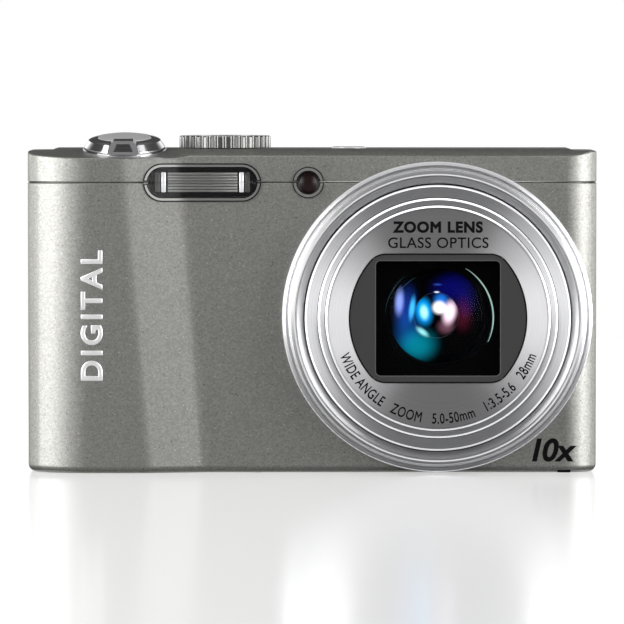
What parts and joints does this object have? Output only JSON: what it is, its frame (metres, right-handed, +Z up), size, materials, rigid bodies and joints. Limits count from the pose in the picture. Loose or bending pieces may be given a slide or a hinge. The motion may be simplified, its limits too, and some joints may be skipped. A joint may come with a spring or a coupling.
{
  "type": "compact digital camera",
  "caption": "Slim metal-bodied digital camera with a retracting telescopic zoom lens, lens barrier, flash, mode dial, rear screen and a door over its battery.",
  "frame": {"origin": "centre of the tripod socket's mouth, on the plane the camera stands on", "axes": "+X towards the lens end of the body, +Z up, lens looking along -Y"},
  "size_m": [0.0996, 0.0269, 0.0593],
  "materials": {
    "body_paint": "satin metallic paint",
    "bright_ring": "circular brushed",
    "barrel_metal": "circular brushed",
    "plate_metal": "satin with printed words",
    "dark_frame": "matte",
    "lens_black": "matte",
    "blade_black": "matte",
    "coated_glass": "anti-reflection coated",
    "flash_clear": "clear",
    "lamp_red": "tinted",
    "satin_trim": "satin",
    "reflector": "bright",
    "chrome": "bright",
    "dial_metal": "machined",
    "screen_black": "gloss",
    "module_grey": "matte",
    "key_grey": "satin",
    "record_red": "satin",
    "board_green": "solder mask",
    "case_black": "matte",
    "contact_brass": "plain",
    "plain_steel": "plain"
  },
  "bodies": {
    "body": {"front_cover": "body_paint", "top_cover": "body_paint", "rear_cover": "body_paint", "lens_bezel_ring": "bright_ring", "inner_trim_ring": "barrel_metal", "lens_housing": "dark_frame", "image_sensor": "board_green", "zoom_motor": "plain_steel", "main_board": "board_green", "key_board": "board_green", "flash_bezel": "satin_trim", "flash_window": "flash_clear", "flash_reflector": "reflector", "flash_tube": "flash_clear", "flash_capacitor": "case_black", "af_lamp_bezel": "satin_trim", "af_lamp_lens": "lamp_red", "screen_window": "screen_black", "screen_panel": "module_grey", "battery": "case_black", "battery_holder": "case_black", "battery_contacts": "contact_brass", "memory_card": "case_black", "card_slot": "module_grey", "tripod_socket": "plain_steel", "usb_connector": "plain_steel", "speaker": "module_grey", "shutter_collar": "chrome", "case_screws": "plain_steel", "steel_pins": "plain_steel"},
    "large_barrel": {"barrel_large": "barrel_metal"},
    "middle_barrel": {"barrel_middle": "barrel_metal", "zoom_lens_carrier": "lens_black", "zoom_lenses": "coated_glass", "aperture_ring": "lens_black"},
    "front_barrel": {"barrel_front": "barrel_metal", "name_plate": "plate_metal", "barrier_frame": "dark_frame", "front_lens_holder": "lens_black", "front_lens": "coated_glass"},
    "focus_group": {"focus_carrier": "lens_black", "focus_lens": "coated_glass"},
    "upper_inner_blade": {"blade_upper_inner": "blade_black"},
    "upper_outer_blade": {"blade_upper_outer": "blade_black"},
    "lower_inner_blade": {"blade_lower_inner": "blade_black"},
    "lower_outer_blade": {"blade_lower_outer": "blade_black"},
    "shutter_key": {"shutter_button": "chrome"},
    "zoom_ring": {"zoom_lever": "chrome"},
    "dial": {"mode_dial": "dial_metal"},
    "power_key": {"power_button": "chrome"},
    "record_key": {"record_button": "record_red"},
    "menu_key": {"menu_button": "key_grey"},
    "function_key": {"function_button": "key_grey"},
    "playback_key": {"playback_button": "key_grey"},
    "delete_key": {"delete_button": "key_grey"},
    "pad": {"direction_pad": "key_grey"},
    "ok_key": {"ok_button": "key_grey"},
    "bay_door": {"battery_door": "body_paint"},
    "latch": {"door_latch": "case_black"},
    "port_flap": {"port_door": "body_paint"}
  },
  "joints": [
    {"name": "barrel_large_slide", "type": "slide", "parent": "body", "child": "large_barrel", "axis": [0, -1, 0], "range_m": [0, 0.012]},
    {"name": "barrel_middle_slide", "type": "slide", "parent": "large_barrel", "child": "middle_barrel", "axis": [0, -1, 0], "range_m": [0, 0.012]},
    {"name": "barrel_front_slide", "type": "slide", "parent": "middle_barrel", "child": "front_barrel", "axis": [0, -1, 0], "range_m": [0, 0.012]},
    {"name": "focus_slide", "type": "slide", "parent": "middle_barrel", "child": "focus_group", "axis": [0, 1, 0], "range_m": [0, 0.0011]},
    {"name": "blade_upper_inner_slide", "type": "slide", "parent": "front_barrel", "child": "upper_inner_blade", "axis": [0, 0, -1], "range_m": [0, 0.0101]},
    {"name": "blade_upper_outer_slide", "type": "slide", "parent": "front_barrel", "child": "upper_outer_blade", "axis": [0, 0, -1], "range_m": [0, 0.0057]},
    {"name": "blade_lower_inner_slide", "type": "slide", "parent": "front_barrel", "child": "lower_inner_blade", "axis": [0, 0, 1], "range_m": [0, 0.0101]},
    {"name": "blade_lower_outer_slide", "type": "slide", "parent": "front_barrel", "child": "lower_outer_blade", "axis": [0, 0, 1], "range_m": [0, 0.0057]},
    {"name": "shutter_press", "type": "slide", "parent": "body", "child": "shutter_key", "axis": [0, 0.1564, -0.9877], "range_m": [0, 0.0006], "stiffness_N_per_m": 1200},
    {"name": "zoom_lever_turn", "type": "hinge", "parent": "body", "child": "zoom_ring", "pos_m": [-0.0328, -0.0042, 0.05615], "axis": [0, -0.1564, 0.9877], "range_deg": [-20, 20], "stiffness_Nm_per_rad": 0.02},
    {"name": "mode_dial_turn", "type": "hinge", "parent": "body", "child": "dial", "pos_m": [-0.0153, 0.0012, 0.0577], "axis": [0, 0, 1], "continuous": true},
    {"name": "power_press", "type": "slide", "parent": "body", "child": "power_key", "axis": [0, 0, -1], "range_m": [0, 0.0003], "stiffness_N_per_m": 1000},
    {"name": "record_press", "type": "slide", "parent": "body", "child": "record_key", "axis": [0, -1, 0], "range_m": [0, 0.0004], "stiffness_N_per_m": 1000},
    {"name": "menu_press", "type": "slide", "parent": "body", "child": "menu_key", "axis": [0, -1, 0], "range_m": [0, 0.0004], "stiffness_N_per_m": 1000},
    {"name": "function_press", "type": "slide", "parent": "body", "child": "function_key", "axis": [0, -1, 0], "range_m": [0, 0.0004], "stiffness_N_per_m": 1000},
    {"name": "playback_press", "type": "slide", "parent": "body", "child": "playback_key", "axis": [0, -1, 0], "range_m": [0, 0.0004], "stiffness_N_per_m": 1000},
    {"name": "delete_press", "type": "slide", "parent": "body", "child": "delete_key", "axis": [0, -1, 0], "range_m": [0, 0.0004], "stiffness_N_per_m": 1000},
    {"name": "pad_press", "type": "slide", "parent": "body", "child": "pad", "axis": [0, -1, 0], "range_m": [0, 0.0003], "stiffness_N_per_m": 1000},
    {"name": "ok_press", "type": "slide", "parent": "body", "child": "ok_key", "axis": [0, -1, 0], "range_m": [0, 0.0004], "stiffness_N_per_m": 1000},
    {"name": "battery_door_hinge", "type": "hinge", "parent": "body", "child": "bay_door", "pos_m": [-0.0104, -0.0027, 0.00135], "axis": [0, -1, 0], "range_deg": [0, 95]},
    {"name": "door_latch_slide", "type": "slide", "parent": "bay_door", "child": "latch", "axis": [1, 0, 0], "range_m": [0, 0.0016]},
    {"name": "port_door_hinge", "type": "hinge", "parent": "body", "child": "port_flap", "pos_m": [-0.04905, 0.0001, 0.04135], "axis": [0, -1, 0], "range_deg": [0, 95]}
  ],
  "couplings": [
    {"joint": "barrel_middle_slide", "follows": "barrel_large_slide", "ratio": 1},
    {"joint": "barrel_front_slide", "follows": "barrel_large_slide", "ratio": 1},
    {"joint": "blade_upper_outer_slide", "follows": "blade_upper_inner_slide", "ratio": 0.56},
    {"joint": "blade_lower_inner_slide", "follows": "blade_upper_inner_slide", "ratio": 1},
    {"joint": "blade_lower_outer_slide", "follows": "blade_upper_inner_slide", "ratio": 0.56}
  ]
}
